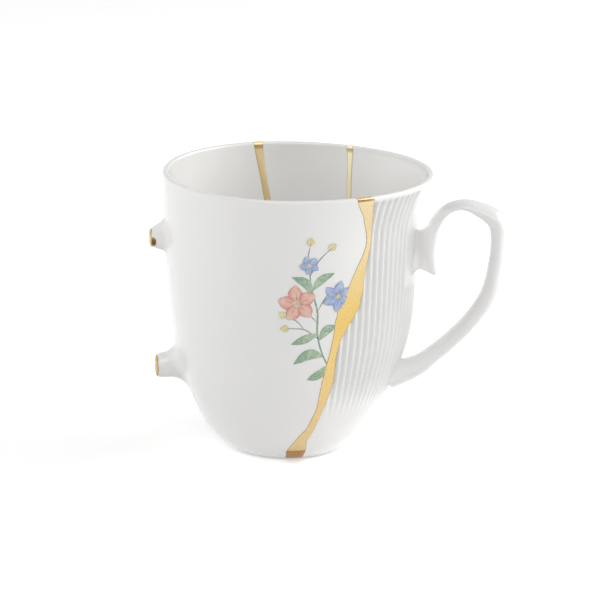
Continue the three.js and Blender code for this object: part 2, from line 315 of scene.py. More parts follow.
# The flutes pressed into the flared part
flutes = {
    "depth": 0.75,
    "pitch": 3.55,
    "start": -62.6,
    "end": 75.85,
    "topGap": 1.4,
    "topFade": 1.2,
    "rearGap": 3,
    "rearFade": 4,
    "rearStart": 30,
    "footHeight": 17,
    "footFade": 14,
    "sideFade": 1.5,
    "plainAngle": 14,
    "plainHeight": 54,
    "plainFade": 6,
    "columns": 10,
    "plainColumns": 110,
    "ridgePower": 0.85,
    # painted shade in the flute valleys: darkest near the rim and towards the front seam
    "shadeLow": [20, 0.5],
    "shadeHigh": [75, 1],
    "shadeFront": [-48, 1],
    "shadeSide": [-8, 0.55],
}


def wallColumns():
    columns = []
    count = round((flutes["end"] - flutes["start"]) / flutes["pitch"])
    for step in range(count * flutes["columns"]):
        share = step / flutes["columns"]
        valley = (0.5 - 0.5 * math.cos(share * math.tau)) ** flutes["ridgePower"]
        columns.append((flutes["start"] + share * flutes["pitch"], valley))
    plainArc = 360 - count * flutes["pitch"]
    for step in range(flutes["plainColumns"]):
        columns.append((flutes["end"] + plainArc * step / flutes["plainColumns"], 0.0))
    return [(angle - 360 if angle > 180 else angle, valley) for angle, valley in columns]


# The wall's rows: millimetres under the foot, then starts and ends as shares of the height, with counts
wallRows = {
    "recess": [0, 4, 8, 11.5, 13.6],
    "recessBend": [[1.75, 0.05], [1.35, 0.3], [0.8, 0.85], [0.3, 1.3]],
    "ringTurns": [180, 270, 4],
    "ringShares": [0.33, 0.66, 1],
    "ringGap": 0.4,
    "ringEdge": [0.12, 0.08],
    "lowest": [0.0035, 0.007, 0.012, 0.018],
    "low": [0.026, 0.1, 9],
    "middle": [0.11, 0.93, 46],
    "high": [0.94, 12],
    "lipTurns": [0, 180, 15],
    "innerHigh": [0.9, 8],
    "inner": [0.88, 26],
    "floorTurns": [8, 90, 9],
    "floorShares": [0.8, 0.55, 0.3, 0],
    # how bare of glaze the foot ring is: where it starts, on it and at its outer edge
    "bareInner": 0.3,
    "bareRing": 1.0,
    "bareOuter": 0.8,
}


def shadeAlong(first, last, place):
    return mix(first[1], last[1], smoothstep(place, first[0], last[0]))


# How dark the painted shade in a flute valley is, by height and angle
def valleyShadeTone(height, angle):
    upward = shadeAlong(flutes["shadeLow"], flutes["shadeHigh"], height)
    return upward * shadeAlong(flutes["shadeFront"], flutes["shadeSide"], angle)


# Each row is a station on both sides, whether flutes cross it, and how bare of glaze it is
def footRows():
    recessEdge = cup["footRadius"] - cup["footRingWidth"]
    rounding = cup["footRounding"]
    rows = [(flatStation(radius, cup["footRecess"]), 0, 0.0) for radius in wallRows["recess"]]
    for gap, drop in wallRows["recessBend"]:
        rows.append((flatStation(recessEdge - gap, cup["footRecess"] - drop), 0, 0.0))
    for index, turn in enumerate(spread(*wallRows["ringTurns"])):
        height = rounding + math.sin(math.radians(turn)) * rounding
        radius = recessEdge + rounding + math.cos(math.radians(turn)) * rounding
        bare = wallRows["bareRing"] if index else wallRows["bareInner"]
        rows.append((flatStation(radius, height), 0, bare))
    for share in wallRows["ringShares"]:
        radius = mix(recessEdge + rounding, cup["footRadius"] - wallRows["ringGap"], share)
        rows.append((flatStation(radius, 0), 0, wallRows["bareRing"]))
    gap, height = wallRows["ringEdge"]
    rows.append((flatStation(cup["footRadius"] - gap, height), 0, wallRows["bareOuter"]))
    return rows


def sideRows():
    start, count = wallRows["high"]
    outerShares = wallRows["lowest"] + spread(*wallRows["low"]) + spread(*wallRows["middle"])
    outerShares += spread(start, lipShare - cup["outerLipGap"], count)
    rows = [(bothSides(outerPoint, share), 1, 0.0) for share in outerShares]
    rows += [(bothSides(lipPoint, math.radians(turn)), 0, 0.0) for turn in spread(*wallRows["lipTurns"])]
    end, count = wallRows["innerHigh"]
    innerShares = spread(lipShare - cup["innerLipGap"], end, count)
    start, count = wallRows["inner"]
    innerShares += spread(start, cup["lowestInside"], count)
    rows += [(bothSides(innerPoint, share), 0, 0.0) for share in innerShares]
    rows += [(bothSides(floorPoint, math.radians(turn)), 0, 0.0) for turn in spread(*wallRows["floorTurns"])]
    smooth, flared = bothSides(floorPoint, math.pi / 2)
    for share in wallRows["floorShares"]:
        rows.append(((Vector((smooth.x * share, smooth.y)), Vector((flared.x * share, flared.y))), 0, 0.0))
    return rows


def buildWall():
    rows = footRows() + sideRows()
    columns = wallColumns()
    bounds = []
    for row in rows:
        station, fluted = row[:2]
        height = station[0].y
        share = height / cup["height"]
        foot = smoothstep(height, flutes["footHeight"], flutes["footHeight"] + flutes["footFade"])
        topStart = cup["height"] - flutes["topGap"] - flutes["topFade"]
        top = 1 - smoothstep(height, topStart, topStart + flutes["topFade"])
        bounds.append((
            fluted * foot * top,
            follow(seamCourses["seamFront"], share, 1),
            follow(seamCourses["seamBackRight"], share, 1),
            smoothstep(height, flutes["plainHeight"], flutes["plainHeight"] + flutes["plainFade"]),
            smoothstep(cup["height"] - height, flutes["rearGap"], flutes["rearGap"] + flutes["rearFade"]),
        ))

    def place(row, column):
        station, fluted, bare = rows[row]
        strength, left, right, atHandle, belowRim = bounds[row]
        angle, valley = columns[column]
        fade, plain = flutes["sideFade"], flutes["plainAngle"]
        valleyShade = 0.0
        if strength and valley:
            sides = smoothstep(angle - left, 0, fade) * smoothstep(right - angle, 0, fade)
            besideHandle = smoothstep(abs(angle), plain - fade, plain)
            valleyShade = valley * strength * sides * mix(1, besideHandle, atHandle)
            # at the back the flutes start lower, so that they leave the rim's outline smooth
            valleyShade *= mix(1, belowRim, smoothstep(angle, plain, flutes["rearStart"]))
        # the valley share sets the flute's depth, and with the tone it becomes the painted shade in the
        # valley
        point = wallPoint(station, angle, flutes["depth"] * valleyShade)
        return point, valleyShade * valleyShadeTone(station[0].y, angle), bare

    return spinSleeve(len(rows), len(columns), place, "cupWall", ("valleyShade", "bare"))


cupWall = buildWall()
print("cup wall built")


# A bead of gold lies along each course: up the outside, over the lip and down the inside
bead = {
    "crown": 0.24,
    "lipCrown": 0.1,
    "bed": 0.3,
    "edge": 0.02,
    "footGap": 0.6,
    "floorTurn": 25,
    "columns": 28,
    "rowGap": 0.62,
    "wander": 0.16,
    "wanderSize": 5.5,
    "swell": 0.14,
    "swellRate": 1.7,
    "ripple": 0.03,
    "rippleRate": [0.09, 0.7],
    "firstSeed": 1.3,
    "seedStep": 3.7,
    "outerRows": 150,
    "lipRows": 13,
    "innerRows": 70,
    "floorStart": 4,
    "floorRows": 6,
    # towards its ends the bead narrows to this share and sinks
    "endRows": 5,
    "endShare": 0.7,
    # the crown falls this many rows before the lip, and is back as many after it
    "crownFall": 6,
    # painted shade lines at the lip's two edges, standing for dark reflections: rows past the outer edge, and
    # strength, then how sharp they are
    "shoulderShades": [[0.7, 0.95], [12.5, 0.6]],
    "shoulderFade": [0.5, 1.4],
    # painted shade on the gold near the foot, standing for the shadowed floor it reflects: height, and share
    "footShadeBand": [[0, 1], [2, 1], [2.8, 0.92], [4.4, 0.88], [4.9, 1], [5.6, 0], [7, 0]],
}


def buildSeam(name, course, seed):
    outer = spread(bead["footGap"] / cup["height"], lipShare - cup["outerLipGap"], bead["outerRows"])
    inner = spread(lipShare - cup["innerLipGap"], cup["lowestInside"], bead["innerRows"])
    floor = spread(bead["floorStart"], bead["floorTurn"], bead["floorRows"])
    stations = [bothSides(outerPoint, share) for share in outer]
    stations += [bothSides(lipPoint, math.radians(turn)) for turn in spread(0, 180, bead["lipRows"])]
    stations += [bothSides(innerPoint, share) for share in inner]
    stations += [bothSides(floorPoint, math.radians(turn)) for turn in floor]
    last = len(stations) - 1
    rows = []
    for index, station in enumerate(stations):
        share = clamp(station[0].y / cup["height"])
        travel = index * bead["rowGap"] / bead["wanderSize"]
        wander = noise.noise(Vector((travel, seed, 0))) * bead["wander"]
        swell = 1 + noise.noise(Vector((travel * bead["swellRate"], seed, 9))) * bead["swell"]
        angle = follow(course, share, 1)
        half = follow(course, share, 2) / 2 * swell
        place = wallPoint(station, angle)
        before, after = stations[max(index - 1, 0)], stations[min(index + 1, last)]
        along = wallPoint(after, angle) - wallPoint(before, angle)
        radius = math.hypot(place.x, place.y)
        out = Vector((place.x, place.y, 0)) / radius
        side = up.cross(out)
        normal = side.cross(along.normalized()).normalized()
        end = min(index, last - index) / bead["endRows"]
        rows.append((station, angle, half, radius, normal, wander, clamp(end) ** 0.5, share))

    def place(row, column):
        station, angle, half, radius, normal, wander, end, share = rows[row]
        turn = math.tau * column / bead["columns"]
        across = math.cos(turn)
        alongRate, acrossRate = bead["rippleRate"]
        ripple = noise.noise(Vector((row * alongRate, across * acrossRate, seed + 20))) * bead["ripple"]
        if math.sin(turn) >= -1e-6:
            past = min(row - bead["outerRows"], bead["outerRows"] + bead["lipRows"] - row)
            crown = mix(bead["crown"], bead["lipCrown"], smoothstep(past, -bead["crownFall"], 1))
            rise = bead["edge"] + (crown - bead["edge"] + ripple) * (1 - across**4) ** 0.75 * end
        else:
            rise = -bead["bed"] * abs(math.sin(turn)) ** 0.5
        reach = across * half * mix(bead["endShare"], 1, end) + wander
        point = wallPoint(station, angle + math.degrees(reach / radius)) + normal * rise
        # painted shade near the foot, where the gold reflects the shadowed floor
        shade = clamp(follow(bead["footShadeBand"], share * cup["height"], 1)) if row < bead["outerRows"] else 0.0
        # painted shade lines at the lip's two edges
        for shoulder, strength in bead["shoulderShades"]:
            distance = abs(row - bead["outerRows"] - shoulder)
            shade = max(shade, strength * (1 - smoothstep(distance, *bead["shoulderFade"])))
        return point, (1 - abs(across)) * half, shade

    return spinSleeve(len(rows), bead["columns"], place, name, ("edgeGap", "goldShade"))


seams = {}
for index, (name, course) in enumerate(seamCourses.items()):
    seams[name] = buildSeam(name, course, bead["seedStep"] * index + bead["firstSeed"])
print("gold seams built")


# The scroll handle: a band swept along its middle line, joined to the wall by a web
handle = {
    "footHeight": 25.5,
    "rise": 58.4,
    "reach": 28,
    "width": 8.5,
    "thickness": 5,
    "stemShare": 0.8,
    "rootHeight": 25.1,
    "rootSwell": [1.75, 1.3],
    "webWidth": 5.4,
    "squareness": 0.9,
    "rows": 150,
    "columns": 40,
    "tangentStep": 0.001,
    "webSteps": 8,
    "voxel": 0.32,
    "smoothing": 6,
    "creaseNear": 0.03,
    "creaseFar": 0.14,
    "creaseDepth": 0.82,
    "creaseRise": [0.6, 0.74, 0.88, 0.94],
    # reach, rise, thickness and width as shares
    "shape": [
        [0.04, 0.063, 1.3, 1.12],
        [0.218, 0.134, 1.12, 1.02],
        [0.446, 0.235, 1.06, 1],
        [0.689, 0.368, 1.05, 1],
        [0.861, 0.508, 1.08, 1],
        [0.937, 0.665, 1.04, 1],
        [0.967, 0.81, 1.05, 1],
        [0.943, 0.915, 1.18, 1],
        [0.736, 0.979, 0.82, 1],
        [0.554, 1, 0.6, 0.95],
        [0.371, 0.971, 0.68, 0.9],
        [0.225, 0.885, 0.78, 0.85],
        [0.179, 0.779, 0.68, 0.8],
        [0.193, 0.664, 0.52, 0.72],
        [0.236, 0.599, 0.24, 0.5],
    ],
    # a start, then lines and curves
    "web": [
        [[-0.057, 0.55]],
        [[0, 0.62], [0.07, 0.63]],
        [[0.14, 0.625], [0.21, 0.6]],
        [[0.18, 0.8]],
        [[0.22, 0.9]],
        [[0.06, 0.835], [0.03, 0.84]],
        [[0, 0.845], [-0.057, 0.88]],
    ],
}


def wallReach(height, angle):
    point = wallPoint(bothSides(outerPoint, height / cup["height"]), angle)
    return math.hypot(point.x, point.y)


handleStart = wallReach(handle["footHeight"] + handle["rise"] * handle["stemShare"], 0)


def handlePlace(reach, rise):
    return Vector((handleStart + reach * handle["reach"], 0, handle["footHeight"] + rise * handle["rise"]))


def curvePoint(points, t):
    last = len(points) - 1
    index = min(int(t * last), last - 1)
    weight = t * last - index
    before = points[index - 1] if index > 0 else points[0] * 2 - points[1]
    after = points[index + 2] if index < last - 1 else points[last] * 2 - points[last - 1]
    a, b = points[index], points[index + 1]
    gaps = [max((q - p).length, 1e-4) ** 0.5 for p, q in ((before, a), (a, b), (b, after))]
    startPull = (a - before) / gaps[0] - (b - before) / (gaps[0] + gaps[1]) + (b - a) / gaps[1]
    endPull = (b - a) / gaps[1] - (after - a) / (gaps[1] + gaps[2]) + (after - b) / gaps[2]
    startPull *= gaps[1]
    endPull *= gaps[1]
    square = (b - a) * 3 - startPull * 2 - endPull
    cube = (a - b) * 2 + startPull + endPull
    return a + startPull * weight + square * weight**2 + cube * weight**3


def ovalPoint(origin, thickAxis, thickness, wideAxis, width, turn, squareness):
    thick = thickAxis * bulge(math.cos(turn), squareness) * thickness / 2
    return origin + thick + wideAxis * bulge(math.sin(turn), squareness) * width / 2


def buildBand():
    step = handle["tangentStep"]
    root = Vector((wallReach(handle["rootHeight"], 0) - cup["wall"] / 2, 0, handle["rootHeight"]))
    line = [root] + [handlePlace(reach, rise) for reach, rise, *swell in handle["shape"]]
    swells = [[0, *handle["rootSwell"]]]
    swells += [[index + 1, thick, wide] for index, (reach, rise, thick, wide) in enumerate(handle["shape"])]
    rows = []
    for t in spread(0, 1, handle["rows"]):
        key = t * (len(line) - 1)
        tangent = (curvePoint(line, min(t + step, 1)) - curvePoint(line, max(t - step, 0))).normalized()
        across = Vector((tangent.z, 0, -tangent.x))
        rows.append((curvePoint(line, t), across, follow(swells, key, 1), follow(swells, key, 2)))

    def place(row, column):
        origin, across, thick, wide = rows[row]
        turn = math.tau * column / handle["columns"]
        thick *= handle["thickness"]
        wide *= handle["width"]
        return (ovalPoint(origin, across, thick, Vector((0, 1, 0)), wide, turn, handle["squareness"]),)

    return spinSleeve(handle["rows"], handle["columns"], place, "handleBand")


def buildWeb():
    outline = [handlePlace(*handle["web"][0][0])]
    for bend in handle["web"][1:]:
        start = outline[-1]
        end = handlePlace(*bend[-1])
        if len(bend) == 1:
            outline.append(end)
            continue
        pull = handlePlace(*bend[0])
        for step in range(1, handle["webSteps"] + 1):
            t = step / handle["webSteps"]
            outline.append(start * (1 - t) ** 2 + pull * 2 * t * (1 - t) + end * t * t)
    web = bmesh.new()
    side = Vector((0, handle["webWidth"] / 2, 0))
    face = web.faces.new([web.verts.new(toRow(point - side)) for point in outline])
    grown = bmesh.ops.extrude_face_region(web, geom=[face])
    moved = [item for item in grown["geom"] if isinstance(item, bmesh.types.BMVert)]
    bmesh.ops.translate(web, verts=moved, vec=side * 2 * mm)
    return finishMesh(web, "handleWeb")


def buildHandle():
    whole = bmesh.new()
    for piece in (buildBand(), buildWeb()):
        whole.from_mesh(piece.data)
        bpy.data.objects.remove(piece)
    rough = finishMesh(whole, "handleRough")
    remesh = rough.modifiers.new("onePiece", "REMESH")
    remesh.mode = "VOXEL"
    remesh.voxel_size = handle["voxel"] * mm
    relax = rough.modifiers.new("relax", "SMOOTH")
    relax.factor = 0.5
    relax.iterations = handle["smoothing"]
    bpy.context.view_layer.update()
    grownMesh = bpy.data.meshes.new_from_object(rough.evaluated_get(bpy.context.evaluated_depsgraph_get()))
    bpy.data.objects.remove(rough)
    final = bmesh.new()
    final.from_mesh(grownMesh)
    # the web is pinched where it meets the wall, which leaves a deep crease beside the scroll
    low, lowFull, highFull, high = handle["creaseRise"]
    for vert in final.verts:
        place = (vert.co - mugAxis) / mm
        reach = (place.x - handleStart) / handle["reach"]
        rise = (place.z - handle["footHeight"]) / handle["rise"]
        near = 1 - smoothstep(reach, handle["creaseNear"], handle["creaseFar"])
        window = smoothstep(rise, low, lowFull) * (1 - smoothstep(rise, highFull, high))
        vert.co.y = mugAxis.y + place.y * mm * (1 - handle["creaseDepth"] * near * window)
    return finishMesh(final, "scrollHandle")


scrollHandle = buildHandle()
print("handle built")


# The stubs of the lost handle: each narrows and drops a little towards its rounded, gilded break
stubs = {
    "angle": 200,
    "width": 8,
    "drop": 0.7,
    "sink": 0.5,
    "reachPast": 0.95,
    "squareness": 0.85,
    "rows": 56,
    "columns": 56,
    # rows crowd towards the wall and the break, and level out between these shares
    "crowding": 1.8,
    "level": [0.3, 0.9],
}
# Their gilded breaks: a skin of gold goes back round the edge by the wrap, and over the broken face
tips = {
    "skin": 0.1,
    "rough": 0.1,
    "wrap": 0.6,
    "wander": 0.6,
    "wanderRate": 1.7,
    "wrapTurn": 106,
    "wrapReach": [0.84, 1.0],
    "tipShade": [0.35, 0.6],
    "sideRows": 12,
    "faceRows": 9,
    "tuck": 0.06,
    "deepest": 0.05,
    "faceGap": 2.0,
}
stubSizes = {
    "Upper": {
        "height": 71.6, "length": 4, "depth": 10.2, "taper": 0.54, "fillet": 1.3, "filletShare": 0.5,
        "endRound": 1.1, "wrapMore": 1.5, "seed": 4.1,
    },
    "Lower": {
        "height": 28.2, "length": 7, "depth": 9.2, "taper": 0.83, "fillet": 4.2, "filletShare": 0.6,
        "endRound": 1.7, "wrapMore": 0.0, "seed": 8.6,
    },
}
stubOut = Vector((math.cos(math.radians(stubs["angle"])), math.sin(math.radians(stubs["angle"])), 0))
stubSide = up.cross(stubOut)


def wallAlong(height, lateral):
    radius = wallReach(height, stubs["angle"])
    radius = wallReach(height, stubs["angle"] + math.degrees(math.asin(lateral / radius)))
    return math.sqrt(radius**2 - lateral**2)


def stubEnd(size):
    return wallReach(size["height"], stubs["angle"]) + size["length"] + stubs["reachPast"]


# How far along its taper a stub is, from its break (0) to the wall (1)
def stubShare(size, left):
    return clamp(left / (size["length"] + stubs["reachPast"]))


def stubMiddle(size, left):
    return up * (size["height"] - stubs["drop"] * (1 - stubShare(size, left)))


def stubArm(size, turn, left, grow=0.0):
    narrowing = mix(size["taper"], 1, stubShare(size, left))
    depth, width = size["depth"] * narrowing, stubs["width"] * narrowing
    arm = ovalPoint(Vector(), up, depth, stubSide, width, turn, stubs["squareness"])
    return arm * (1 + grow / arm.length)


def endShrink(size, left):
    lean = clamp(1 - left / size["endRound"])
    return size["endRound"] * (1 - math.sqrt(1 - lean**2))


def buildStub(label, size):
    end = stubEnd(size)
    crowding = stubs["crowding"]

    def place(row, column):
        turn = math.tau * column / stubs["columns"]
        share = min(row / (stubs["rows"] - 2), 1)
        arm = stubArm(size, turn, size["length"])
        span = end - wallAlong(size["height"] + arm.z, arm.dot(stubSide))
        fillet = min(size["fillet"], span * size["filletShare"])
        half = 0.5**crowding
        travel = share**crowding if share < 0.5 else 1 - (1 - half) * ((1 - share) / 0.5) ** crowding
        gap = mix(-stubs["sink"], span, travel)
        left = span - gap
        lean = clamp(1 - gap / fillet)
        bloom = fillet * (1 - math.sqrt(max(1 - lean**2, 0))) - endShrink(size, left)
        arm = stubArm(size, turn, left, bloom)
        if row == stubs["rows"] - 1:
            arm *= 0.0
        middle = stubMiddle(size, left)
        wall = wallAlong(middle.z + arm.z, arm.dot(stubSide))
        distance = mix(wall + gap, end - left, smoothstep(share, *stubs["level"]))
        return (stubOut * distance + middle + arm,)

    return spinSleeve(stubs["rows"], stubs["columns"], place, "stub" + label)


def buildTip(label, size):
    end = stubEnd(size)
    # each row's share of the way back along the wrap, and of the way out over the face
    rows = [(1.0, -tips["tuck"])] + [(back, 1.0) for back in spread(1, 0, tips["sideRows"] + 1)]
    rows += [(0.0, share) for share in spread(1, 0, tips["faceRows"] + 1)[1:]]

    def place(row, column):
        back, share = rows[row]
        turn = math.tau * column / stubs["columns"]
        wander = noise.noise(Vector((math.cos(turn), math.sin(turn), size["seed"])) * tips["wanderRate"])
        nearness = smoothstep(math.cos(turn - math.radians(tips["wrapTurn"])), *tips["wrapReach"])
        wrap = tips["wrap"] * (1 + tips["wander"] * wander) + size["wrapMore"] * nearness
        left = back * wrap
        skin = tips["skin"] if share > 0 else -tips["skin"]
        face = share if share >= 0 else 1.0
        arm = stubArm(size, turn, left, skin - endShrink(size, left))
        inward = 1.0 if back > 0 else face
        rough = noise.noise(Vector((arm.z * face, arm.dot(stubSide) * face, size["seed"]))) * tips["rough"]
        outer = skin if back == 0 else skin * (1 - min(left / size["endRound"], 1))
        along = end - left + max(outer, -tips["deepest"]) + (rough * (1 - face**4) if back == 0 else 0)
        edgeGap = (wrap - left) if back > 0 else tips["faceGap"]
        # painted dark shade on the upper break's gold, towards the wrap's turn
        shade = smoothstep(left, *tips["tipShade"]) * nearness if size["wrapMore"] else 0.0
        return stubOut * along + stubMiddle(size, left) + arm * inward, edgeGap, shade

    return spinSleeve(len(rows), stubs["columns"], place, "tip" + label, ("edgeGap", "goldShade"))


stubPieces = {label: buildStub(label, size) for label, size in stubSizes.items()}
tipPieces = {label: buildTip(label, size) for label, size in stubSizes.items()}
print("stubs and gilded tips built")


# The painted sprig: brush strokes laid on the wall as a skin of colour, cut off by the front seam
sprig = {
    "angle": -65,
    "radius": 39.5,
    "lift": 0.02,
    "layer": 0.004,
    "skin": 0.015,
    "across": [-1, -0.86, -0.6, -0.2, 0.2, 0.6, 0.86, 1],
    "finest": 0.04,
    "edgePower": 3,
    "startDark": 0.25,
    # widths along a stroke, from its start to its end: shares of its width, or millimetres
    "stemShares": [0.7, 1, 1, 0.6],
    "leafShares": [0.7, 1, 0.75],
    "leafStart": 0.15,
    "leafEnd": 0.08,
    "leafVein": [0.22, 0.2, 0.16, 0.05],
    "budWidths": [0.4, 2.0, 2.3, 1.5, 0.15],
    "budBase": [0.3, 0.15, 0.05],
    "budReach": [1.3, 1.5],
    "budDark": 0.8,
    # a petal's middle line: shares of the blossom's size, outwards and sideways
    "petalPath": [[0.16, 0], [0.55, 0.05], [1, 0]],
    "petalFill": 0.9,
    "petalShares": [0.3, 0.95, 1.12, 0.8, 0.1],
    "petalDark": 0.85,
    "petalVein": [0.28, 0.2, 0.06],
    "petalVeinReach": [0.2, 0.62],
    "dots": 7,
    "dotTurn": 2.4,
    "dotSpacing": 0.05,
    "dotReach": 0.3,
    "dotWidths": [0.2, 0.7, 0.7, 0.2],
    "dotDark": 0.3,
    "coral": (0.62, 0.13, 0.08),
    "coralPale": (0.85, 0.55, 0.45),
    "blue": (0.16, 0.24, 0.50),
    "bluePale": (0.42, 0.52, 0.76),
    "yellow": (0.72, 0.62, 0.22),
    "yellowPale": (0.85, 0.78, 0.45),
    "green": (0.16, 0.34, 0.22),
    "greenPale": (0.55, 0.66, 0.40),
    "ink": (0.12, 0.13, 0.12),
}
# Its parts, in millimetres across and up the wall. They are painted in this order, each over the last
sprigParts = {
    # points, width, colour and rows
    "stems": [
        [[(8, 33), (3.5, 40), (1.2, 48), (1, 56), (-1, 64), (-1.5, 70)], 0.55, "green", 60],
        [[(1.1, 52), (-3, 57), (-5.5, 60.5)], 0.35, "green", 26],
        [[(1, 56), (4, 61), (7.5, 63)], 0.35, "green", 26],
        [[(1.6, 46.5), (-3, 50), (-8, 50.5)], 0.28, "ink", 26],
        [[(-3, 50), (-5.5, 53), (-9, 54.5)], 0.24, "ink", 26],
        [[(-1.3, 68), (1.5, 73), (4.5, 76)], 0.26, "ink", 26],
        [[(-1.4, 69), (-2, 73.5), (-1.4, 77.5)], 0.26, "ink", 26],
    ],
    # points, width, and how dark the edges are
    "leaves": [
        [[(3.3, 40.5), (-1, 41.5), (-6.5, 38.2)], 3.6, 0.7],
        [[(1.6, 46), (4.2, 49.5), (7.2, 50.6)], 3.0, 0.7],
        [[(1.3, 48.5), (-2.5, 46.8), (-7.2, 45)], 2.8, 0.5],
        [[(-0.2, 61), (-2.6, 65.5), (-7, 67.6)], 2.8, 0.7],
        [[(5.2, 37.5), (2.4, 34.4), (-2, 32.6)], 3.0, 0.6],
        [[(-0.6, 63), (2.2, 66.5), (6.2, 68.4)], 2.6, 0.55],
    ],
    # across, up, size, petals, turn and colour
    "blossoms": [
        [-5.2, 58.8, 6.2, 5, 96, "coral"],
        [7.6, 60.5, 5.2, 6, 20, "blue"],
        [-1.6, 71.4, 3.1, 5, 40, "blue"],
    ],
    # across, up and turn
    "buds": [
        [-9.2, 50.4, 180],
        [-9.8, 55, 150],
        [5.4, 77, 45],
        [-1.2, 79, 85],
    ],
}


class Painting:
    def __init__(self):
        self.shape = bmesh.new()
        self.pigment = self.shape.verts.layers.float_color.new("pigment")
        self.count = 0

    def lay(self, u, v, lift):
        share = v / cup["height"]
        station = bothSides(outerPoint, share)
        angle = sprig["angle"] + math.degrees(u / sprig["radius"])
        angle = min(angle, follow(seamCourses["seamFront"], share, 1))
        out = wallPoint(station, angle, -lift)
        return toRow(out)

    # A stroke follows its points. Its width and both colours run from its start to its end
    def stroke(self, points, widths, fill, rim, rimShare=0.55, rows=22):
        points = [Vector((u, v, 0)) for u, v in points]
        table = [[index / (len(widths) - 1), width] for index, width in enumerate(widths)]
        across = sprig["across"]
        made = bmesh.ops.create_grid(self.shape, x_segments=len(across) - 1, y_segments=rows, size=1)["verts"]
        lift = sprig["lift"] + self.count * sprig["layer"]
        self.count += 1
        for vert in made:
            side = across[round((vert.co.x + 1) / 2 * (len(across) - 1))]
            t = clamp((vert.co.y + 1) / 2)
            ahead = curvePoint(points, min(t + 0.01, 1))
            tangent = (ahead - curvePoint(points, max(t - 0.01, 0))).normalized()
            half = max(follow(table, t, 1), sprig["finest"]) / 2
            place = curvePoint(points, t) + Vector((-tangent.y, tangent.x, 0)) * side * half
            dark = clamp(rimShare * (abs(side) ** sprig["edgePower"] + sprig["startDark"] * (1 - t)))
            tone = [mix(mix(fill[0][c], fill[1][c], t), rim[c], dark) for c in range(3)]
            vert[self.pigment] = (*tone, 1)
            vert.co = self.lay(place.x, place.y, lift)
        faces = list({face for vert in made for face in vert.link_faces})
        bmesh.ops.recalc_face_normals(self.shape, faces=faces)
        bmesh.ops.solidify(self.shape, geom=faces, thickness=sprig["skin"] * mm)

    def stem(self, points, width, colour, rows):
        tone = sprig[colour]
        self.stroke(points, [width * share for share in sprig["stemShares"]], (tone, tone), tone, rows=rows)

    def leaf(self, points, width, dark):
        green = sprig["green"]
        widths = [sprig["leafStart"], *(width * share for share in sprig["leafShares"]), sprig["leafEnd"]]
        self.stroke(points, widths, (sprig["greenPale"], green), green, dark)
        self.stroke(points, sprig["leafVein"], (green, green), green)

    def blossom(self, u, v, size, petals, turn, colour):
        middle = Vector((u, v))
        pale, rim, heart = sprig[colour + "Pale"], sprig[colour], sprig["yellow"]
        wide = size * sprig["petalFill"] * math.tan(math.pi / petals)
        for petal in range(petals):
            angle = math.radians(turn + petal * 360 / petals)
            out = Vector((math.cos(angle), math.sin(angle)))
            side = Vector((-out.y, out.x))
            path = [middle + out * size * reach + side * size * lean for reach, lean in sprig["petalPath"]]
            widths = [wide * share for share in sprig["petalShares"]]
            self.stroke(path, widths, (pale, pale), rim, sprig["petalDark"])
            vein = [middle + out * size * reach for reach in sprig["petalVeinReach"]]
            self.stroke(vein, sprig["petalVein"], (rim, rim), rim)
        for dot in range(sprig["dots"]):
            angle = dot * sprig["dotTurn"]
            reach = size * sprig["dotSpacing"] * dot**0.5
            x, y = u + math.cos(angle) * reach, v + math.sin(angle) * reach
            ends = [(x - sprig["dotReach"], y), (x + sprig["dotReach"], y)]
            self.stroke(ends, sprig["dotWidths"], (heart, heart), rim, sprig["dotDark"])

    def bud(self, u, v, turn):
        yellow, ink = sprig["yellow"], sprig["ink"]
        back, forward = sprig["budReach"]
        out = Vector((math.cos(math.radians(turn)), math.sin(math.radians(turn))))
        middle = Vector((u, v))
        path = [middle - out * back, middle, middle + out * forward]
        self.stroke(path, sprig["budWidths"], (sprig["yellowPale"], yellow), yellow, sprig["budDark"])
        self.stroke(path[:2], sprig["budBase"], (ink, ink), ink)


def buildSprig():
    art = Painting()
    painters = {"stems": art.stem, "leaves": art.leaf, "blossoms": art.blossom, "buds": art.bud}
    for kind, paint in painters.items():
        for part in sprigParts[kind]:
            paint(*part)
    return finishMesh(art.shape, "paintedSprig")


paintedSprig = buildSprig()
print("painted sprig laid")


# Materials. A signal is a socket that takes part in sums
class Signal:
    def __init__(self, sheet, socket):
        self.sheet = sheet
        self.socket = socket

    def sum(self, operation, first, second=0.0):
        return self.sheet.add("ShaderNodeMath", {"operation": operation}, {0: first, 1: second})

    def __add__(self, other):
        return self.sum("ADD", self, other)

    def __radd__(self, other):
        return self.sum("ADD", other, self)

    def __sub__(self, other):
        return self.sum("SUBTRACT", self, other)

    def __rsub__(self, other):
        return self.sum("SUBTRACT", other, self)

    def __mul__(self, other):
        return self.sum("MULTIPLY", self, other)

    def __rmul__(self, other):
        return self.sum("MULTIPLY", other, self)

    def within(self, low, high, first=0.0, last=1.0):
        return self.sheet.add(
            "ShaderNodeMapRange", {"interpolation_type": "SMOOTHSTEP"},
            {"Value": self, "From Min": low, "From Max": high, "To Min": first, "To Max": last},
        )


class NodeSheet:
    def __init__(self, owner):
        owner.use_nodes = True
        self.owner = owner
        self.tree = owner.node_tree
        self.tree.nodes.clear()

    def add(self, kind, settings=None, sockets=None, output=0):
        node = self.tree.nodes.new(kind)
        for key, value in (settings or {}).items():
            setattr(node, key, value)
        for key, value in (sockets or {}).items():
            if isinstance(value, Signal):
                self.tree.links.new(value.socket, node.inputs[key])
            else:
                node.inputs[key].default_value = value
        return Signal(self, node.outputs[output]) if node.outputs else None

    def blendColours(self, share, first, second, blend="MIX"):
        settings = {"data_type": "RGBA", "blend_type": blend}
        return self.add("ShaderNodeMix", settings, {0: share, 6: first, 7: second}, 2)

    # 1 where light is gathered by a matt surface, 0 where the camera or a gloss sees it
    def gathered(self):
        return self.add("ShaderNodeLightPath", output="Is Diffuse Ray")


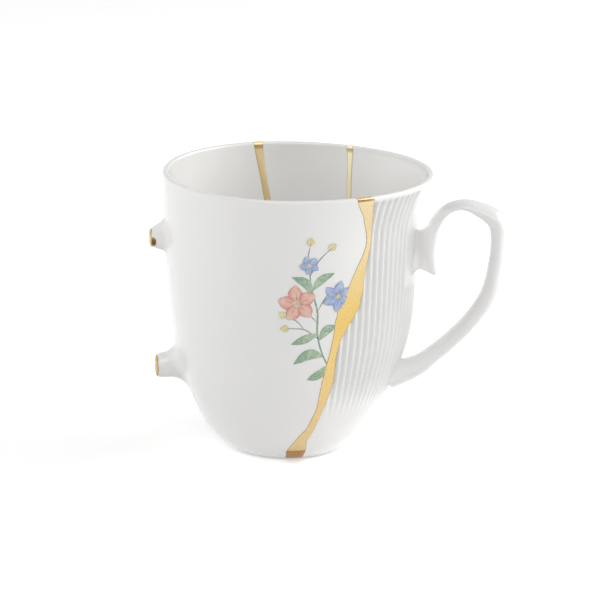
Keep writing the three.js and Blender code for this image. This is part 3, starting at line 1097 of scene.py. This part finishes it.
class MaterialSheet(NodeSheet):
    def __init__(self, name):
        super().__init__(bpy.data.materials.new(name))
        self.objectPlace = self.add("ShaderNodeTexCoord", output="Object")

    def cloud(self, size, detail=2.0, roughness=0.5):
        return self.add("ShaderNodeTexNoise", {"noise_dimensions": "3D"}, {
            "Vector": self.objectPlace,
            "Scale": 1 / (size * mm),
            "Detail": detail,
            "Roughness": roughness,
        })

    def attribute(self, name, output="Fac"):
        return self.add("ShaderNodeAttribute", {"attribute_name": name}, {}, output)

    def bump(self, height, distance):
        return self.add("ShaderNodeBump", {}, {"Height": height, "Distance": distance * mm, "Strength": 1.0})

    def surface(self, sockets):
        shader = self.add("ShaderNodeBsdfPrincipled", {}, sockets)
        self.add("ShaderNodeOutputMaterial", {}, {"Surface": shader})
        return self.owner


def rgb(red, green, blue):
    return (red, green, blue, 1.0)


glaze = {
    "body": rgb(0.90, 0.895, 0.88),
    "warm": rgb(0.905, 0.89, 0.86),
    # painted shade colour in the flute valleys
    "valleyShade": rgb(0.66, 0.66, 0.65),
    "biscuit": rgb(0.70, 0.66, 0.59),
    "biscuitDark": rgb(0.52, 0.48, 0.42),
    "roughness": 0.30,
    "mottleRoughness": 0.02,
    "biscuitRoughness": 0.45,
    "coatRoughness": 0.035,
    "coatIor": 1.5,
    "ior": 1.45,
    # sizes of the patterns in millimetres
    "driftSize": 45,
    "waveSize": 14,
    "mottleSize": 6,
    "peelSize": 1.6,
    "gritSize": 0.35,
    # shares of the bump's height, which is in millimetres
    "bump": 0.05,
    "waveShare": 0.05,
    "peelShare": 0.02,
    "gritShare": 0.6,
}


def glazedPorcelain(name, valleyShadeAndBareFoot):
    sheet = MaterialSheet(name)
    drift = sheet.cloud(glaze["driftSize"]).within(0.35, 0.7)
    mottle = sheet.cloud(glaze["mottleSize"])
    peel = sheet.cloud(glaze["peelSize"])
    wave = sheet.cloud(glaze["waveSize"], 1)
    colour = sheet.blendColours(drift * 0.2, glaze["body"], glaze["warm"])
    coat = 1.0
    roughness = mottle.within(0.3, 0.7, glaze["roughness"], glaze["roughness"] + glaze["mottleRoughness"])
    relief = wave * glaze["waveShare"] + peel * glaze["peelShare"]
    if valleyShadeAndBareFoot:
        grit = sheet.cloud(glaze["gritSize"], 3, 0.7)
        valleyShade = sheet.attribute("valleyShade")
        bare = sheet.attribute("bare").within(0.35, 0.75)
        # painted shade in the flute valleys
        colour = sheet.blendColours(valleyShade, colour, glaze["valleyShade"])
        colour = sheet.blendColours(bare, colour, glaze["biscuit"])
        colour = sheet.blendColours(bare * grit.within(0.4, 0.75) * 0.5, colour, glaze["biscuitDark"])
        roughness = roughness + bare * glaze["biscuitRoughness"]
        coat = 1 - bare
        relief = relief * (1 - bare) + bare * grit * glaze["gritShare"]
    sockets = {
        "Base Color": colour,
        "Roughness": roughness,
        "Coat Weight": coat,
        "Coat Roughness": glaze["coatRoughness"],
        "Coat IOR": glaze["coatIor"],
        "IOR": glaze["ior"],
        "Normal": sheet.bump(relief, glaze["bump"]),
    }
    return sheet.surface(sockets)


gilding = {
    "pale": rgb(0.71, 0.59, 0.37),
    "deep": rgb(0.70, 0.495, 0.165),
    "low": rgb(0.57, 0.43, 0.235),
    # the inner seams' gold is painted brighter: a painted reflection of the lights
    "insideLeft": [rgb(0.88, 0.72, 0.40), rgb(0.83, 0.63, 0.28)],
    "insideRight": [rgb(1, 0.92, 0.64), rgb(0.98, 0.86, 0.54)],
    "edge": rgb(0.28, 0.16, 0.08),
    "shade": rgb(0.31, 0.14, 0.015),
    # the dark painted shade on the upper break's gold
    "tipShade": rgb(0.10, 0.035, 0.025),
    "roughness": 0.24,
    "insideRoughness": 0.4,
    # heights in metres: the gold turns paler towards the rim, and duller towards the foot
    "paleHeights": [0.05, 0.085],
    "lowHeights": [0.008, 0.045],
    # how far the brown edge line reaches in, in millimetres
    "edgeLine": [0.05, 0.24],
    # sizes of the patterns in millimetres
    "driftSize": 11,
    "waveSize": 4.5,
    "grainSize": 0.8,
    "bump": 0.06,
}


def firedGold(name, pale, deep, shadeColour, roughness):
    sheet = MaterialSheet(name)
    drift = sheet.cloud(gilding["driftSize"], 1).within(0.3, 0.7)
    height = sheet.add("ShaderNodeSeparateXYZ", {}, {"Vector": sheet.objectPlace}, "Z")
    high = height.within(*gilding["paleHeights"])
    low = height.within(*gilding["lowHeights"], 1, 0)
    grain = sheet.cloud(gilding["grainSize"], 3, 0.65)
    wave = sheet.cloud(gilding["waveSize"], 1)
    edge = 1 - sheet.attribute("edgeGap").within(*gilding["edgeLine"])
    # painted shade on the gold: near the foot, at the lip's edges and on the upper break
    shade = sheet.attribute("goldShade")
    bands = wave.within(0.3, 0.7, 0.85, 1)
    colour = sheet.blendColours(high * 0.8 + drift * 0.2, deep, pale)
    colour = sheet.blendColours(low, colour, gilding["low"])
    colour = sheet.blendColours(grain.within(0.45, 0.85, 0, 0.1), colour, deep)
    colour = sheet.blendColours(shade * bands, colour, shadeColour)
    colour = sheet.blendColours(edge * 0.6, colour, gilding["edge"])
    sockets = {
        "Base Color": colour,
        "Metallic": 1 - edge * 0.5,
        "Roughness": grain.within(0.3, 0.7, roughness - 0.05, roughness + 0.08) + edge * 0.2,
        "Normal": sheet.bump(wave * 0.5 + grain * 0.03, gilding["bump"]),
    }
    return sheet.surface(sockets)


enamel = {
    "washSize": 1.3,
    "streakSize": 0.45,
    "roughness": [0.34, 0.44],
    "bump": 0.01,
}


def enamelPaint(name):
    sheet = MaterialSheet(name)
    wash = sheet.cloud(enamel["washSize"], 3, 0.6)
    streak = sheet.cloud(enamel["streakSize"])
    pigment = sheet.attribute("pigment", "Color")
    colour = sheet.blendColours(wash.within(0.42, 0.75, 0, 0.42), pigment, glaze["body"])
    colour = sheet.blendColours(streak.within(0.35, 0.6, 0.22, 0), colour, pigment, "MULTIPLY")
    sockets = {
        "Base Color": colour,
        "Roughness": wash.within(0.3, 0.7, *enamel["roughness"]),
        "Coat Weight": 1.0,
        "Coat Roughness": glaze["coatRoughness"],
        "Normal": sheet.bump(streak, enamel["bump"]),
    }
    return sheet.surface(sockets)


paper = {
    "light": rgb(0.92, 0.92, 0.92),
    "dark": rgb(0.9, 0.9, 0.9),
    "glow": 0.405,
    "bounce": rgb(0.80, 0.80, 0.80),
    "toneSize": 220,
    "roughness": 0.85,
    "specular": 0.1,
}


def sweepPaper(name):
    sheet = MaterialSheet(name)
    tone = sheet.cloud(paper["toneSize"]).within(0.3, 0.7)
    colour = sheet.blendColours(tone, paper["dark"], paper["light"])
    sockets = {
        "Base Color": sheet.blendColours(sheet.gathered(), colour, paper["bounce"]),
        "Roughness": paper["roughness"],
        "Specular IOR Level": paper["specular"],
        "Emission Color": sheet.blendColours(sheet.gathered(), rgb(1, 1, 1), rgb(0, 0, 0)),
        "Emission Strength": paper["glow"],
    }
    return sheet.surface(sockets)


wallGlaze = glazedPorcelain("glazedWall", True)
plainGlaze = glazedPorcelain("glazedHandle", False)
seamGold = firedGold("firedGold", gilding["pale"], gilding["deep"], gilding["shade"], gilding["roughness"])
tipGold = firedGold("firedGoldTip", gilding["pale"], gilding["deep"], gilding["tipShade"], gilding["roughness"])
paintedGlintGolds = {}
# the inner seams get brighter copies of the gold, as painted reflection
for side in ("Left", "Right"):
    glintTones = gilding["inside" + side]
    paintedGlintGolds[side] = firedGold("firedGold" + side, *glintTones, gilding["shade"], gilding["insideRoughness"])
sprigPaint = enamelPaint("enamelPaint")
print("materials mixed")

# Each piece gets its finish, rides on the mug's one body and stands for its node
dressing = [
    (cupWall, wallGlaze, "porcelain", "porcelain_body"),
    (scrollHandle, plainGlaze, "porcelain", "porcelain_body"),
    (stubPieces["Upper"], plainGlaze, "porcelain", "porcelain_body"),
    (stubPieces["Lower"], plainGlaze, "porcelain", "porcelain_body"),
    (seams["seamFront"], seamGold, "gold", "gold_seam_front"),
    (seams["seamBackLeft"], paintedGlintGolds["Left"], "gold", "gold_seam_back_left"),
    (seams["seamBackRight"], paintedGlintGolds["Right"], "gold", "gold_seam_back_right"),
    (tipPieces["Upper"], tipGold, "gold", "gold_tip_upper"),
    (tipPieces["Lower"], tipGold, "gold", "gold_tip_lower"),
    (paintedSprig, sprigPaint, "porcelain", None),
]
for piece, finish, slotName, node in dressing:
    piece.data.materials.append(finish)
    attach(piece, "root")
    if node:
        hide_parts(node)
print("pieces dressed")

# The studio: a pale sweep and room, and large soft lights around
studio = {
    "sweepSize": 12,
    "roomSeen": rgb(0.85, 0.85, 0.85),
    "roomGathered": rgb(0.15, 0.15, 0.15),
    "lamps": [
        # name, azimuth, elevation, distance, width, height, power, whether a gloss shows it
        ["leftBox", -78, 22, 1.6, 1.2, 1.4, 13.3, False],
        ["rightBox", 95, 22, 1.6, 1.0, 1.4, 9.9, True],
        ["frontBox", 10, 35, 1.8, 1.4, 1.0, 9.5, True],
        ["frontRightBox", 60, 30, 1.8, 1.0, 1.2, 2.9, True],
        ["backRightBox", 125, 25, 1.8, 1.4, 1.0, 15, True],
    ],
}
sweep = bmesh.new()
bmesh.ops.create_grid(sweep, x_segments=2, y_segments=2, size=studio["sweepSize"] / 2)
sweepPiece = finishMesh(sweep, "sweep")
sweepPiece.data.materials.append(sweepPaper("sweepPaper"))

room = bpy.data.worlds.new("whiteRoom")
roomSheet = NodeSheet(room)
roomColour = roomSheet.blendColours(roomSheet.gathered(), studio["roomSeen"], studio["roomGathered"])
roomLight = roomSheet.add("ShaderNodeBackground", {}, {"Color": roomColour})
roomSheet.add("ShaderNodeOutputWorld", {}, {"Surface": roomLight})
scene.world = room

for name, azimuth, elevation, distance, width, height, power, glossy in studio["lamps"]:
    lampData = bpy.data.lights.new(name, "AREA")
    lampData.shape = "RECTANGLE"
    lampData.size = width
    lampData.size_y = height
    lampData.energy = power
    lamp = bpy.data.objects.new(name, lampData)
    lamp.visible_glossy = glossy
    scene.collection.objects.link(lamp)
    aim(lamp, viewTarget + direction(azimuth, elevation) * distance, viewTarget)
print("studio lit")
